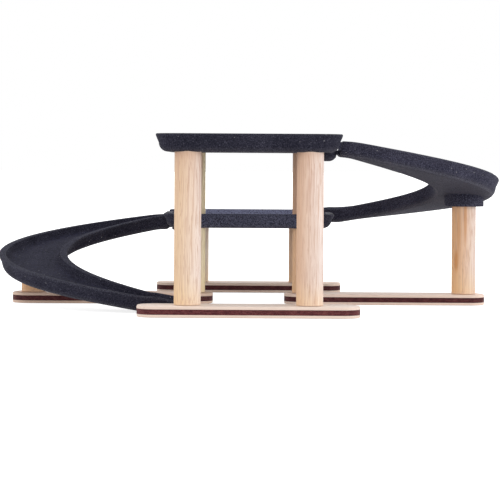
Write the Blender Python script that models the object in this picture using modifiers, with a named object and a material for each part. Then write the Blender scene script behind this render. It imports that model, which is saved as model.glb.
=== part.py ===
"""Two-storey toy parking garage: laminated foot plates, turned columns, moulded decks and helical ramps.

Metres, +Z up. The origin is on the ground, midway between the four foot plates. -Y is the front.
The cars come down from the top deck by the right-hand ramp, cross the middle deck at the back, and
reach the ground by the left-hand ramp, so both ramps wind the same way and are one shape in plan.
"""
import math

import bmesh
import bpy
from mathutils import Matrix, Vector

MM = 0.001
GAP = 0.3 * MM

# Column grid: three rows from front to back, two columns in each row
COLUMN_DIAMETER = 28.0 * MM
POST_DIAMETER = 27.2 * MM
COLUMN_SPACING = 127.0 * MM
ROW_PITCH = 211.5 * MM
COLUMN_SIDES = 24
EDGE_EASE = 0.8 * MM
TENON_DIAMETER = 14.0 * MM
FOOT_TENON = 7.6 * MM
HEAD_TENON = 2.4 * MM
THROUGH_TENON = 12.0 * MM
SOCKET_CLEARANCE = 0.3 * MM
HOLE_SIDES = 16
CUT_OVERRUN = 6.0 * MM

# Foot plates: a dark core between two pale boards
PLATE_LENGTH = 226.8 * MM
FRONT_PLATE_LENGTH = 231.4 * MM
PLATE_WIDTH = 49.4 * MM
PLATE_CORNER = 19.0 * MM
CORNER_STEPS = 5
BOARD = 2.95 * MM
CORE = 5.5 * MM
GLUE_LINE = 0.1 * MM
PLATE_TOP = 2 * BOARD + CORE + 2 * GLUE_LINE

# Decks: moulded trays with leaning sides and a round bilge
DECK_LENGTH = 194.8 * MM
DECK_OVERHANG = 22.0 * MM
DECK_CORNER = 28.0 * MM
DECK_FLOOR = 5.7 * MM
TOP_DECK_BOTTOM = 170.6 * MM
TOP_DECK_HEIGHT = 19.0 * MM
MIDDLE_DECK_BOTTOM = 85.3 * MM
MIDDLE_DECK_HEIGHT = 16.2 * MM
COLUMN_SEAT = 1.7 * MM
DECK_LEAN = 3.2 * MM
DECK_BILGE = 9.6 * MM
BILGE_STEPS = 4
RIM_WIDTH = 7.0 * MM
RIM_ROUND = 1.2 * MM
WALL_LEAN = 0.2
FLOOR_FILLET = 6.5 * MM
FILLET_STEPS = 3
FILLET_START = 12.0

# Ramps: a trough swept round a half turn, lane centre to lane centre
LANE_RADIUS = 144.0 * MM
TURN_CENTRE_X = 100.5 * MM
LANE_WIDTH = 77.0 * MM
RAMP_HEIGHT = 16.9 * MM
RAMP_LEAN = 3.4 * MM
RAMP_BILGE = 8.3 * MM
BEND_SWELL = 2.0 * MM
RIM_HEIGHT = 9.3 * MM
FLOOR_STEP = 0.2 * MM
RAMP_END_X = 98.0 * MM
RAMP_END_LEAN = 3.5 * MM
TURN_STATIONS = 32
EASE_SHARE = 0.035
UPPER_RAMP_RIMS = (182.7 * MM, 105.9 * MM)
UPPER_RAMP_SAG = 4.6 * MM
UPPER_RAMP_SWAY = -0.6 * MM
LOWER_RAMP_RIMS = (96.1 * MM, 17.9 * MM)
LOWER_RAMP_SAG = -1.9 * MM
LOWER_RAMP_SWAY = 0.1 * MM
GROUND_END_X = 66.0 * MM
GROUND_END_RIM = 12.0 * MM
GROUND_CLEARANCE = 0.3 * MM
GROUND_STATIONS = 3
DECK_END_X = 76.4 * MM
DECK_END_RIM = 103.8 * MM

# Ramp seats: tongues and pegs on the deck ends, bosses on the posts
TONGUE_LENGTH = 21.0 * MM
TONGUE_WIDTH = 48.0 * MM
TONGUE_THICKNESS = 5.0 * MM
TONGUE_CORNER = 6.0 * MM
OPENING_WIDTH = 79.0 * MM
OPENING_DEPTH = 18.0 * MM
PEG_DIAMETER = 10.0 * MM
PEG_LENGTH = 3.4 * MM
PEG_INSET = 10.5 * MM
PEG_ROOT = 1.6 * MM
LUG_DROP = 9.0 * MM
LUG_LENGTH = 27.0 * MM
LUG_WIDTH = 62.0 * MM
LUG_END_X = 92.6 * MM
LUG_CORNER = 9.8 * MM
LUG_BILGE = 8.3 * MM
LUG_ROOT = 5.0 * MM
BOSS_DIAMETER = 44.6 * MM
BOSS_DROP = 11.5 * MM
BOSS_SOCKET = 5.8 * MM
BOSS_SIDES = 28

POST_X = TURN_CENTRE_X + LANE_RADIUS
COLUMN_X = COLUMN_SPACING / 2
SIDE_PLATE_X = (COLUMN_X + POST_X) / 2
DECK_DEPTH = ROW_PITCH + 2 * DECK_OVERHANG
TO_POST_AXIS = Matrix.Translation((-POST_X, 0.0, 0.0))


def clear_scene():
    for old in list(bpy.data.objects):
        bpy.data.objects.remove(old, do_unlink=True)


def make_collection(name):
    collection = bpy.data.collections.new(name)
    bpy.context.scene.collection.children.link(collection)
    return collection


def make_material(name, colour, roughness):
    material = bpy.data.materials.new(name)
    material.use_nodes = True
    shader = material.node_tree.nodes["Principled BSDF"]
    shader.inputs["Base Color"].default_value = (*colour, 1.0)
    shader.inputs["Roughness"].default_value = roughness
    shader.inputs["Metallic"].default_value = 0.0
    return material


def add_object(name, bm, collection, material=None, smooth_angle=35.0):
    bmesh.ops.recalc_face_normals(bm, faces=bm.faces)
    mesh = bpy.data.meshes.new(name)
    bm.to_mesh(mesh)
    bm.free()
    mesh.shade_smooth()
    mesh.set_sharp_from_angle(angle=math.radians(smooth_angle))
    obj = bpy.data.objects.new(name, mesh)
    collection.objects.link(obj)
    if material is not None:
        mesh.materials.append(material)
    return obj


def add_cutter(name, bm):
    cutter = add_object(name, bm, CUTTERS)
    cutter.hide_render = True
    cutter.display_type = "WIRE"
    return cutter


def combine(target, other, operation):
    modifier = target.modifiers.new(other.name, "BOOLEAN")
    modifier.operation = operation
    modifier.solver = "EXACT"
    modifier.object = other


def arc(centre, radius, start, end, steps):
    """Points of a circular arc, with angles in degrees."""
    points = []
    for i in range(steps + 1):
        angle = math.radians(start + (end - start) * i / steps)
        points.append((centre[0] + radius * math.cos(angle), centre[1] + radius * math.sin(angle)))
    return points


def rounded_rectangle(length, width, corner, steps):
    half_x = length / 2 - corner
    half_y = width / 2 - corner
    outline = []
    for sign_x, sign_y, start in ((1, 1, 0), (-1, 1, 90), (-1, -1, 180), (1, -1, 270)):
        outline += arc((sign_x * half_x, sign_y * half_y), corner, start, start + 90, steps)
    return outline


def loft(rings):
    """A closed body through rings of equal point count, capped at the first and the last."""
    bm = bmesh.new()
    loops = [[bm.verts.new(point) for point in ring] for ring in rings]
    for lower, upper in zip(loops, loops[1:]):
        for i in range(len(lower)):
            j = (i + 1) % len(lower)
            bm.faces.new((lower[i], lower[j], upper[j], upper[i]))
    bm.faces.new(list(reversed(loops[0])))
    bm.faces.new(loops[-1])
    return bm


def inset_rings(length, width, corner, steps, profile):
    """Rings of one rounded rectangle, each drawn in by an inset at a height."""
    rings = []
    for inset, z in profile:
        outline = rounded_rectangle(length - 2 * inset, width - 2 * inset, corner - inset, steps)
        rings.append([(x, y, z) for x, y in outline])
    return rings


def cylinder(radius, low, high, centre=(0.0, 0.0), sides=COLUMN_SIDES):
    bm = bmesh.new()
    bmesh.ops.create_cone(bm, cap_ends=True, segments=sides, radius1=radius, radius2=radius,
                          depth=high - low)
    bmesh.ops.translate(bm, verts=bm.verts, vec=(centre[0], centre[1], (low + high) / 2))
    return bm


def box(low, high):
    bm = bmesh.new()
    bmesh.ops.create_cube(bm, size=1.0)
    size = Vector(high) - Vector(low)
    bmesh.ops.scale(bm, vec=size, verts=bm.verts)
    bmesh.ops.translate(bm, vec=(Vector(low) + Vector(high)) / 2, verts=bm.verts)
    return bm


def merge(parts):
    """One mesh holding several separate bodies, for a cutter with many teeth."""
    whole = bmesh.new()
    for part in parts:
        mesh = bpy.data.meshes.new("part")
        part.to_mesh(mesh)
        part.free()
        whole.from_mesh(mesh)
        bpy.data.meshes.remove(mesh)
    return whole


def turned(name, profile, material, place):
    """A turned piece: the profile (radius, height) runs down from the top and is spun about Z."""
    bm = bmesh.new()
    verts = [bm.verts.new((radius, 0.0, z)) for radius, z in profile]
    for upper, lower in zip(verts, verts[1:]):
        bm.edges.new((upper, lower))
    mesh = bpy.data.meshes.new(name)
    bm.to_mesh(mesh)
    bm.free()
    obj = bpy.data.objects.new(name, mesh)
    PARTS.objects.link(obj)
    mesh.materials.append(material)
    spin = obj.modifiers.new("turn", "SCREW")
    spin.angle = math.tau
    spin.steps = COLUMN_SIDES
    spin.render_steps = COLUMN_SIDES
    spin.use_merge_vertices = True
    spin.merge_threshold = 0.00001
    spin.use_smooth_shade = False
    obj.location = place
    return obj


def column_profile(radius, height, head, foot):
    """Down the outside of a column; head and foot are tenon lengths, and a negative foot is a bore."""
    tenon = TENON_DIAMETER / 2
    foot_radius = tenon if foot > 0 else tenon + SOCKET_CLEARANCE
    profile = []
    if head > 0:
        profile += [(0.0, height + head), (tenon, height + head), (tenon, height)]
    else:
        profile += [(0.0, height)]
    profile += [(radius - EDGE_EASE, height), (radius, height - EDGE_EASE)]
    profile += [(radius, EDGE_EASE), (radius - EDGE_EASE, 0.0)]
    profile += [(foot_radius, 0.0), (foot_radius, -foot), (0.0, -foot)]
    return profile


def build_plate(name, length, place, hole_x):
    """Three glued layers; the tenons of two uprights stand in the top board and the core."""
    core_low = BOARD + GLUE_LINE
    core_high = core_low + CORE
    top_low = core_high + GLUE_LINE
    eased_foot = ((EDGE_EASE, 0.0), (0.0, EDGE_EASE), (0.0, BOARD))
    square_edge = ((0.0, core_low), (0.0, core_high))
    eased_top = ((0.0, top_low), (0.0, PLATE_TOP - EDGE_EASE), (EDGE_EASE, PLATE_TOP))
    layers = (
        ("bottom_board", eased_foot, PALE_BOARD, False),
        ("core", square_edge, MAROON_CORE, True),
        ("top_board", eased_top, PALE_BOARD, True),
    )
    hole = TENON_DIAMETER / 2 + SOCKET_CLEARANCE
    for layer, profile, material, drilled in layers:
        rings = inset_rings(length, PLATE_WIDTH, PLATE_CORNER, CORNER_STEPS, profile)
        board = add_object(f"{name}_{layer}", loft(rings), PARTS, material)
        board.location = place
        if drilled:
            drills = []
            for side in (-1, 1):
                drills.append(cylinder(hole, -CUT_OVERRUN, PLATE_TOP + CUT_OVERRUN, (side * hole_x, 0.0),
                                       HOLE_SIDES))
            cutter = add_cutter(f"{name}_{layer}_holes", merge(drills))
            cutter.location = place
            combine(board, cutter, "DIFFERENCE")


def deck_profile(height):
    """(inset, height) from the flat bottom over the bilge and the rim to the floor of the tray."""
    rim_low = height - RIM_ROUND
    inner = RIM_WIDTH + RIM_ROUND
    floor_edge = inner + WALL_LEAN * (height - DECK_FLOOR) + FLOOR_FILLET
    profile = arc((DECK_LEAN + DECK_BILGE, DECK_BILGE), DECK_BILGE, 270, 180, BILGE_STEPS)
    profile += [(0.0, rim_low), (RIM_ROUND, height), (RIM_WIDTH, height), (inner, rim_low)]
    fillet_centre = (floor_edge, DECK_FLOOR + FLOOR_FILLET)
    profile += arc(fillet_centre, FLOOR_FILLET, 180 + FILLET_START, 270, FILLET_STEPS)
    return profile


def build_deck(name, centre_y, bottom, height):
    rings = inset_rings(DECK_LENGTH, DECK_DEPTH, DECK_CORNER, CORNER_STEPS, deck_profile(height))
    deck = add_object(name, loft(rings), PARTS, CHARCOAL)
    deck.location = (0.0, centre_y, bottom)
    return deck


def cut_column_seats(deck, through_row=None):
    """Round seats in the underside for the column heads, with a hole for each tenon."""
    seat = COLUMN_DIAMETER / 2 + SOCKET_CLEARANCE
    hole = TENON_DIAMETER / 2 + SOCKET_CLEARANCE
    blind = COLUMN_SEAT + HEAD_TENON + SOCKET_CLEARANCE
    seats = []
    holes = []
    for row in (-1, 1):
        for side in (-1, 1):
            centre = (side * COLUMN_X, row * ROW_PITCH / 2)
            seats.append(cylinder(seat, -CUT_OVERRUN, COLUMN_SEAT, centre))
            high = DECK_FLOOR + CUT_OVERRUN if row == through_row else blind
            holes.append(cylinder(hole, -CUT_OVERRUN, high, centre, HOLE_SIDES))
    for label, cuts in (("seats", seats), ("tenon_holes", holes)):
        cutter = add_cutter(f"{deck.name}_{label}", merge(cuts))
        cutter.location = deck.location
        combine(deck, cutter, "DIFFERENCE")


def cut_upper_feet(deck, row, height):
    """Clear the tray where the upper columns stand beside the rim."""
    seat = COLUMN_DIAMETER / 2 + SOCKET_CLEARANCE
    feet = []
    for side in (-1, 1):
        centre = (side * COLUMN_X, row * ROW_PITCH / 2)
        feet.append(cylinder(seat, DECK_FLOOR - GAP, height + CUT_OVERRUN, centre))
    cutter = add_cutter(f"{deck.name}_feet", merge(feet))
    cutter.location = deck.location
    combine(deck, cutter, "DIFFERENCE")


def add_ramp_seat(deck, side, lane_y, seat_z, has_lug):
    """An open end for one ramp: a gap in the rim, a pocket for the tongue and a hole for its peg."""
    label = "right" if side > 0 else "left"
    end = DECK_LENGTH / 2
    local_y = lane_y - deck.location.y
    seat = seat_z - deck.location.z
    if has_lug:
        profile = arc((LUG_BILGE, LUG_BILGE), LUG_BILGE, 270, 180, BILGE_STEPS)
        profile += [(0.0, LUG_DROP + LUG_ROOT)]
        lug_bm = loft(inset_rings(LUG_LENGTH, LUG_WIDTH, LUG_CORNER, CORNER_STEPS, profile))
        lug = add_cutter(f"{deck.name}_{label}_lug", lug_bm)
        lug_x = side * (LUG_END_X - LUG_LENGTH / 2)
        lug.location = (lug_x, lane_y, deck.location.z - LUG_DROP)
        combine(deck, lug, "UNION")
    cuts = [("gap", OPENING_WIDTH / 2, OPENING_DEPTH, DECK_FLOOR - FLOOR_STEP)]
    if has_lug:
        reach = end - RAMP_END_X + TONGUE_LENGTH + 2 * GAP
        cuts.append(("pocket", TONGUE_WIDTH / 2 + 2 * GAP, reach, seat))
    for kind, half_width, depth, low in cuts:
        near = side * (end - depth)
        far = side * (end + CUT_OVERRUN)
        high = TOP_DECK_HEIGHT + CUT_OVERRUN
        cut_box = box((min(near, far), -half_width, low), (max(near, far), half_width, high))
        cutter = add_cutter(f"{deck.name}_{label}_{kind}", cut_box)
        cutter.location = (0.0, lane_y, deck.location.z)
        combine(deck, cutter, "DIFFERENCE")
    peg_x = side * (RAMP_END_X - PEG_INSET)
    hole_low = -LUG_DROP - CUT_OVERRUN
    hole = cylinder(PEG_DIAMETER / 2 + 2 * GAP, hole_low, DECK_FLOOR, (peg_x, local_y), HOLE_SIDES)
    cutter = add_cutter(f"{deck.name}_{label}_peg_hole", hole)
    cutter.location = deck.location
    combine(deck, cutter, "DIFFERENCE")


def trough_section():
    """(across, depth below the rim, share of the bend's extra depth) from one rim round to the other."""
    half = LANE_WIDTH / 2
    inner = half - RIM_WIDTH - RIM_ROUND
    floor_edge = inner - WALL_LEAN * RIM_HEIGHT - FLOOR_FILLET
    fillet_centre = (floor_edge, RIM_HEIGHT - FLOOR_FILLET)
    bilge_top = RAMP_HEIGHT - RAMP_BILGE
    bilge_centre = (half - RAMP_LEAN - RAMP_BILGE, bilge_top)
    lane = arc(fillet_centre, FLOOR_FILLET, 90, FILLET_START, FILLET_STEPS)
    lane += [(inner, RIM_ROUND), (inner + RIM_ROUND, 0.0)]
    lane += [(half - RIM_ROUND, 0.0), (half, RIM_ROUND)]
    bilge = arc(bilge_centre, RAMP_BILGE, 0, 90, BILGE_STEPS)
    outer = [(across, depth, 0.0) for across, depth in lane]
    outer += [(across, depth, (depth - bilge_top) / RAMP_BILGE) for across, depth in bilge]
    return outer + [(-across, depth, 0.0) for across, depth in reversed(lane + bilge)]


def eased(share):
    """0 to 1 along the turn, level at both ends over EASE_SHARE of the way."""
    q = EASE_SHARE
    if share < q:
        return share * share / (2 * q * (1 - q))
    if share > 1 - q:
        return 1 - (1 - share) ** 2 / (2 * q * (1 - q))
    return (share - q / 2) / (1 - q)


def rim_height(share, rims, sag, sway):
    start, end = rims
    height = start + (end - start) * eased(share)
    return height - 4 * sag * share * (1 - share) + sway * math.sin(math.tau * share)


def straight_foot(start, end, rest_z, steps):
    """Stations (x, rim, lowest z) after the start of a straight foot that lies on a floor."""
    stations = []
    for i in range(1, steps + 1):
        share = i / steps
        x = start[0] + (end[0] - start[0]) * share
        rim = start[1] + (end[1] - start[1]) * share
        stations.append((x, rim, rest_z))
    return stations


def ramp_rings(rims, sag, sway, foot):
    """Rings of the trough from the upper end, round the half turn, to the end of the foot."""
    section = trough_section()
    stations = [(RAMP_END_X, -LANE_RADIUS, 0.0, rims[0], RAMP_END_LEAN, 0.0)]
    for i in range(TURN_STATIONS + 1):
        share = i / TURN_STATIONS
        turn = math.pi * share
        x = TURN_CENTRE_X + LANE_RADIUS * math.sin(turn)
        y = -LANE_RADIUS * math.cos(turn)
        stations.append((x, y, turn, rim_height(share, rims, sag, sway), 0.0, 0.0))
    for x, rim, lowest in foot:
        stations.append((x, LANE_RADIUS, math.pi, rim, 0.0, lowest))
    rings = []
    for x, y, turn, rim, lean, lowest in stations:
        ring = []
        for across, depth, swell_share in section:
            extra = BEND_SWELL * swell_share * math.sin(turn) ** 2
            z = max(rim - depth - extra, lowest)
            shift = -lean * depth / RAMP_HEIGHT
            ring.append((x + across * math.sin(turn) + shift, y - across * math.cos(turn), z))
        rings.append(ring)
    return rings


def ramp_tongue(low, high):
    """A flat tongue that carries the lane on into the deck from the upper end of a ramp."""
    tip_x = RAMP_END_X - TONGUE_LENGTH
    middle = (tip_x + TURN_CENTRE_X) / 2
    outline = rounded_rectangle(TURN_CENTRE_X - tip_x, TONGUE_WIDTH, TONGUE_CORNER, CORNER_STEPS)
    rings = []
    for z in (low, high):
        rings.append([(middle + x, y - LANE_RADIUS, z) for x, y in outline])
    return loft(rings)


def build_ramp(name, rims, sag, sway, foot, head_seat, foot_seat, half_turn):
    """A helical trough with its boss, tongue and pegs, made about the axis of its post."""
    ramp = add_object(name, loft(ramp_rings(rims, sag, sway, foot)), PARTS, CHARCOAL)
    middle_rim = rim_height(0.5, rims, sag, sway)
    boss_low = middle_rim - RAMP_HEIGHT - BOSS_DROP
    boss_bm = cylinder(BOSS_DIAMETER / 2, boss_low, middle_rim, (POST_X, 0.0), BOSS_SIDES)
    for vert in boss_bm.verts:
        if vert.co.z > boss_low + GAP:
            turn = math.atan2(vert.co.x - TURN_CENTRE_X, -vert.co.y)
            rim = rim_height(turn / math.pi, rims, sag, sway)
            vert.co.z = rim - (RIM_HEIGHT + RAMP_HEIGHT) / 2
    tongue_bm = ramp_tongue(head_seat + GAP, rims[0] - RIM_HEIGHT - FLOOR_STEP)
    additions = [("boss", boss_bm), ("tongue", tongue_bm)]
    for end, lane_y, seat in (("head", -LANE_RADIUS, head_seat), ("foot", LANE_RADIUS, foot_seat)):
        if seat is not None:
            low = seat + GAP
            place = (RAMP_END_X - PEG_INSET, lane_y)
            peg = cylinder(PEG_DIAMETER / 2, low - PEG_LENGTH, low + PEG_ROOT, place, HOLE_SIDES)
            additions.append((f"{end}_peg", peg))
    pieces = [ramp]
    for label, bm in additions:
        piece = add_cutter(f"{name}_{label}", bm)
        combine(ramp, piece, "UNION")
        pieces.append(piece)
    socket_radius = POST_DIAMETER / 2 + SOCKET_CLEARANCE
    socket = cylinder(socket_radius, boss_low - BOSS_DROP, boss_low + BOSS_SOCKET, (POST_X, 0.0))
    cutter = add_cutter(f"{name}_socket", socket)
    combine(ramp, cutter, "DIFFERENCE")
    pieces.append(cutter)
    axis = bpy.data.objects.new(f"{name}_lift_axis", None)
    PARTS.objects.link(axis)
    for piece in pieces:
        piece.data.transform(TO_POST_AXIS)
        piece.parent = axis
    axis.location = (-POST_X if half_turn else POST_X, 0.0, 0.0)
    axis.rotation_euler.z = math.pi if half_turn else 0.0
    return boss_low


def build_columns(upper_boss, lower_boss):
    radius = COLUMN_DIAMETER / 2
    foot_z = PLATE_TOP + GAP
    top_head = TOP_DECK_BOTTOM + COLUMN_SEAT - GAP
    middle_head = MIDDLE_DECK_BOTTOM + COLUMN_SEAT - GAP
    middle_floor = MIDDLE_DECK_BOTTOM + DECK_FLOOR
    for label, side in (("left", -1), ("right", 1)):
        x = side * COLUMN_X
        full = column_profile(radius, top_head - foot_z, HEAD_TENON, FOOT_TENON)
        turned(f"front_{label}_column", full, PALE_TURNED, (x, -ROW_PITCH, foot_z))
        short = column_profile(radius, middle_head - foot_z, HEAD_TENON, FOOT_TENON)
        turned(f"back_{label}_column", short, PALE_TURNED, (x, ROW_PITCH, foot_z))
        lower = column_profile(radius, middle_head - foot_z, THROUGH_TENON, FOOT_TENON)
        turned(f"middle_{label}_lower_column", lower, PALE_TURNED, (x, 0.0, foot_z))
        bore = middle_head + THROUGH_TENON + GAP - middle_floor
        upper = column_profile(radius, top_head - middle_floor, HEAD_TENON, -bore)
        turned(f"middle_{label}_upper_column", upper, PALE_TURNED, (x, 0.0, middle_floor))
    for name, side, boss in (("upper_ramp_post", 1, upper_boss), ("lower_ramp_post", -1, lower_boss)):
        height = boss + BOSS_SOCKET - GAP - foot_z
        post = column_profile(POST_DIAMETER / 2, height, 0.0, FOOT_TENON)
        turned(name, post, PALE_TURNED, (side * POST_X, 0.0, foot_z))


def build_garage():
    upright_span = POST_X - COLUMN_X
    build_plate("front_plate", FRONT_PLATE_LENGTH, (0.0, -ROW_PITCH, 0.0), COLUMN_X)
    build_plate("back_plate", PLATE_LENGTH, (0.0, ROW_PITCH, 0.0), COLUMN_X)
    build_plate("left_plate", PLATE_LENGTH, (-SIDE_PLATE_X, 0.0, 0.0), upright_span / 2)
    build_plate("right_plate", PLATE_LENGTH, (SIDE_PLATE_X, 0.0, 0.0), upright_span / 2)

    top_deck = build_deck("top_deck", -ROW_PITCH / 2, TOP_DECK_BOTTOM, TOP_DECK_HEIGHT)
    middle_deck = build_deck("middle_deck", ROW_PITCH / 2, MIDDLE_DECK_BOTTOM, MIDDLE_DECK_HEIGHT)
    upper_seat = UPPER_RAMP_RIMS[0] - RIM_HEIGHT - TONGUE_THICKNESS - GAP
    lower_seat = LOWER_RAMP_RIMS[0] - RIM_HEIGHT - TONGUE_THICKNESS - GAP
    middle_floor = MIDDLE_DECK_BOTTOM + DECK_FLOOR
    add_ramp_seat(top_deck, 1, -LANE_RADIUS, upper_seat, True)
    add_ramp_seat(middle_deck, -1, LANE_RADIUS, lower_seat, True)
    add_ramp_seat(middle_deck, 1, LANE_RADIUS, middle_floor, False)
    cut_column_seats(top_deck)
    cut_column_seats(middle_deck, through_row=-1)
    cut_upper_feet(middle_deck, -1, MIDDLE_DECK_HEIGHT)

    on_deck = (RAMP_END_X - GAP, UPPER_RAMP_RIMS[1])
    rest_z = middle_floor + GAP
    upper_foot = [(RAMP_END_X, UPPER_RAMP_RIMS[1], 0.0), (*on_deck, rest_z)]
    upper_foot += straight_foot(on_deck, (DECK_END_X, DECK_END_RIM), rest_z, 1)
    off_turn = (TURN_CENTRE_X, LOWER_RAMP_RIMS[1])
    lower_foot = straight_foot(off_turn, (GROUND_END_X, GROUND_END_RIM), GROUND_CLEARANCE, GROUND_STATIONS)
    upper_boss = build_ramp("upper_ramp", UPPER_RAMP_RIMS, UPPER_RAMP_SAG, UPPER_RAMP_SWAY,
                            upper_foot, upper_seat, middle_floor, False)
    lower_boss = build_ramp("lower_ramp", LOWER_RAMP_RIMS, LOWER_RAMP_SAG, LOWER_RAMP_SWAY,
                            lower_foot, lower_seat, None, True)
    build_columns(upper_boss, lower_boss)


clear_scene()
PARTS = make_collection("toy_parking_garage")
CUTTERS = make_collection("garage_cutters")
PALE_BOARD = make_material("pale_board", (0.78, 0.66, 0.50), 0.55)
PALE_TURNED = make_material("pale_turned_wood", (0.72, 0.58, 0.42), 0.5)
MAROON_CORE = make_material("maroon_core", (0.10, 0.045, 0.05), 0.6)
CHARCOAL = make_material("charcoal_composite", (0.045, 0.045, 0.055), 0.62)
build_garage()
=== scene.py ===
import math

import bmesh
import bpy
import numpy as np
from mathutils import Matrix, Vector


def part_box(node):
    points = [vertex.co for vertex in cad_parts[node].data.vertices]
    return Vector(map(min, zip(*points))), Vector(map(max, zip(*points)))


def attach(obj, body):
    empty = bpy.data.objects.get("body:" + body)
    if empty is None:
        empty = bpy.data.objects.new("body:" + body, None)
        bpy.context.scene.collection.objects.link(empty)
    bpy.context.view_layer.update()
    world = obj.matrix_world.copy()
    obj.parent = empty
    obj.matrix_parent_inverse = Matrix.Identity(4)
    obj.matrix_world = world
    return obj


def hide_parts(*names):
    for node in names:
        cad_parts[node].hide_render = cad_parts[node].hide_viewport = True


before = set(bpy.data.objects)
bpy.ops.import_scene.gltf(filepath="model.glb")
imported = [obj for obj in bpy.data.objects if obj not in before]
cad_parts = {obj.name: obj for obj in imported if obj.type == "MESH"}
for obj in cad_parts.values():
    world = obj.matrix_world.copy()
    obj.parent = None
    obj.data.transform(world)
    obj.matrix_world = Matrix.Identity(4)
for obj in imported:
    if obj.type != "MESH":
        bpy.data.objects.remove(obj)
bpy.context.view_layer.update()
scene = bpy.context.scene
print("frame loaded,", len(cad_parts), "nodes")


# Shader sums and nodes

class Wire:  # one output socket; sums on wires become Math nodes
    def __init__(self, graph, socket):
        self.graph = graph
        self.socket = socket

    def join(self, operation, first, second):
        return self.graph.add("Math", {"operation": operation}, {0: first, 1: second})

    def __add__(self, other):
        return self.join("ADD", self, other)

    def __radd__(self, other):
        return self.join("ADD", other, self)

    def __sub__(self, other):
        return self.join("SUBTRACT", self, other)

    def __rsub__(self, other):
        return self.join("SUBTRACT", other, self)

    def __mul__(self, other):
        return self.join("MULTIPLY", self, other)

    def __rmul__(self, other):
        return self.join("MULTIPLY", other, self)


class Graph:  # a node tree, for a finish or for the sky
    def __init__(self, tree):
        self.tree = tree

    def add(self, kind, settings=None, sockets=None, out=0):
        node = self.tree.nodes.new("ShaderNode" + kind)
        for key, value in (settings or {}).items():
            if key == "stops":
                self.setStops(node.color_ramp, value)
            else:
                setattr(node, key, value)
        for key, value in (sockets or {}).items():
            self.feed(node.inputs[key], value)
        return Wire(self, node.outputs[out])

    def setStops(self, ramp, stops):
        while len(ramp.elements) < len(stops):
            ramp.elements.new(1.0)
        for element, (position, colour) in zip(ramp.elements, stops):
            element.position = position
            element.color = (*colour, 1.0)

    def feed(self, socket, value):
        if isinstance(value, Wire):
            self.tree.links.new(value.socket, socket)
        elif socket.type == "RGBA" and len(value) == 3:
            socket.default_value = (*value, 1.0)
        else:
            socket.default_value = value

    def seen(self):  # 1 for rays from the camera and for mirrored rays
        camera = self.add("LightPath", out="Is Camera Ray")
        mirrored = self.add("LightPath", out="Is Glossy Ray")
        return self.add("Math", {"operation": "MAXIMUM"}, {0: camera, 1: mirrored})


class Finish(Graph):  # a material and the nodes that it is made of
    def __init__(self, name):
        self.material = bpy.data.materials.new(name)
        self.material.use_nodes = True
        super().__init__(self.material.node_tree)
        self.shader = self.tree.nodes["Principled BSDF"]
        self.place = self.add("TexCoord", out="Object")

    def set(self, **values):  # Principled sockets, named without their spaces
        for socket in self.shader.inputs:
            key = socket.name.replace(" ", "")
            key = key[0].lower() + key[1:]
            if key in values:
                self.feed(socket, values.pop(key))
        assert not values, values

    def stretch(self, vector, scale):
        return self.add("VectorMath", {"operation": "MULTIPLY"}, {0: vector, 1: scale})

    def shift(self, vector, offset):
        return self.add("VectorMath", {"operation": "ADD"}, {0: vector, 1: offset})

    def length(self, vector):
        return self.add("VectorMath", {"operation": "LENGTH"}, {0: vector}, out="Value")

    def along(self, vector, direction):
        return self.add("VectorMath", {"operation": "DOT_PRODUCT"}, {0: vector, 1: direction}, out="Value")

    def noise(self, vector, detail=2.0, rough=0.5, warp=0.0):
        sockets = {"Vector": vector, "Scale": 1.0, "Detail": detail, "Roughness": rough, "Distortion": warp}
        return self.add("TexNoise", {}, sockets)

    def cells(self, vector, out="Distance"):
        return self.add("TexVoronoi", {}, {"Vector": vector, "Scale": 1.0}, out=out)

    def cellDraw(self, vector):  # one random share for each cell
        return self.add("SeparateColor", {}, {0: self.cells(vector, "Color")})

    def saw(self, value):  # runs up and down between 0 and 1
        return self.add("Math", {"operation": "PINGPONG"}, {0: value, 1: 0.5}) * 2

    def size(self, value):
        return self.add("Math", {"operation": "ABSOLUTE"}, {0: value})

    def step(self, value, low, high):
        return self.add("MapRange", {"interpolation_type": "SMOOTHSTEP"}, {0: value, 1: low, 2: high})

    def mix(self, mask, first, second):
        return self.add("Mix", {"data_type": "RGBA"}, {0: mask, 6: first, 7: second}, out=2)

    def ramp(self, value, stops):
        return self.add("ValToRGB", {"stops": stops}, {0: value})

    def wear(self):
        return self.add("Attribute", {"attribute_name": "edgeWear"}, out="Fac")

    def bump(self, height, distance, strength):
        sockets = {"Height": height, "Distance": distance, "Strength": strength}
        self.set(normal=self.add("Bump", {}, sockets))


# Mesh helpers

def arc(centre, radius, start, end, steps):
    points = []
    for i in range(steps + 1):
        angle = math.radians(start + (end - start) * i / steps)
        points.append((centre[0] + radius * math.cos(angle), centre[1] + radius * math.sin(angle)))
    return points


def loft(rings):  # closed skin through equal rings, with a cap on each end
    bm = bmesh.new()
    loops = [[bm.verts.new(point) for point in ring] for ring in rings]
    for lower, upper in zip(loops, loops[1:]):
        for i in range(len(lower)):
            j = (i + 1) % len(lower)
            bm.faces.new((lower[i], lower[j], upper[j], upper[i]))
    bm.faces.new(list(reversed(loops[0])))
    bm.faces.new(loops[-1])
    return bm


def roundedOutline(length, width, corner, steps):  # points with their outward normals
    outline = []
    for signX, signY, start in ((1, 1, 0), (-1, 1, 90), (-1, -1, 180), (1, -1, 270)):
        centre = (signX * (length / 2 - corner), signY * (width / 2 - corner))
        points = arc(centre, corner, start, start + 90, steps)
        normals = arc((0, 0), 1, start, start + 90, steps)
        outline += [(x, y, nx, ny) for (x, y), (nx, ny) in zip(points, normals)]
    return outline


def insetRings(outline, profile):
    rings = []
    for inset, z in profile:
        rings.append([(x - nx * inset, y - ny * inset, z) for x, y, nx, ny in outline])
    return rings


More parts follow.
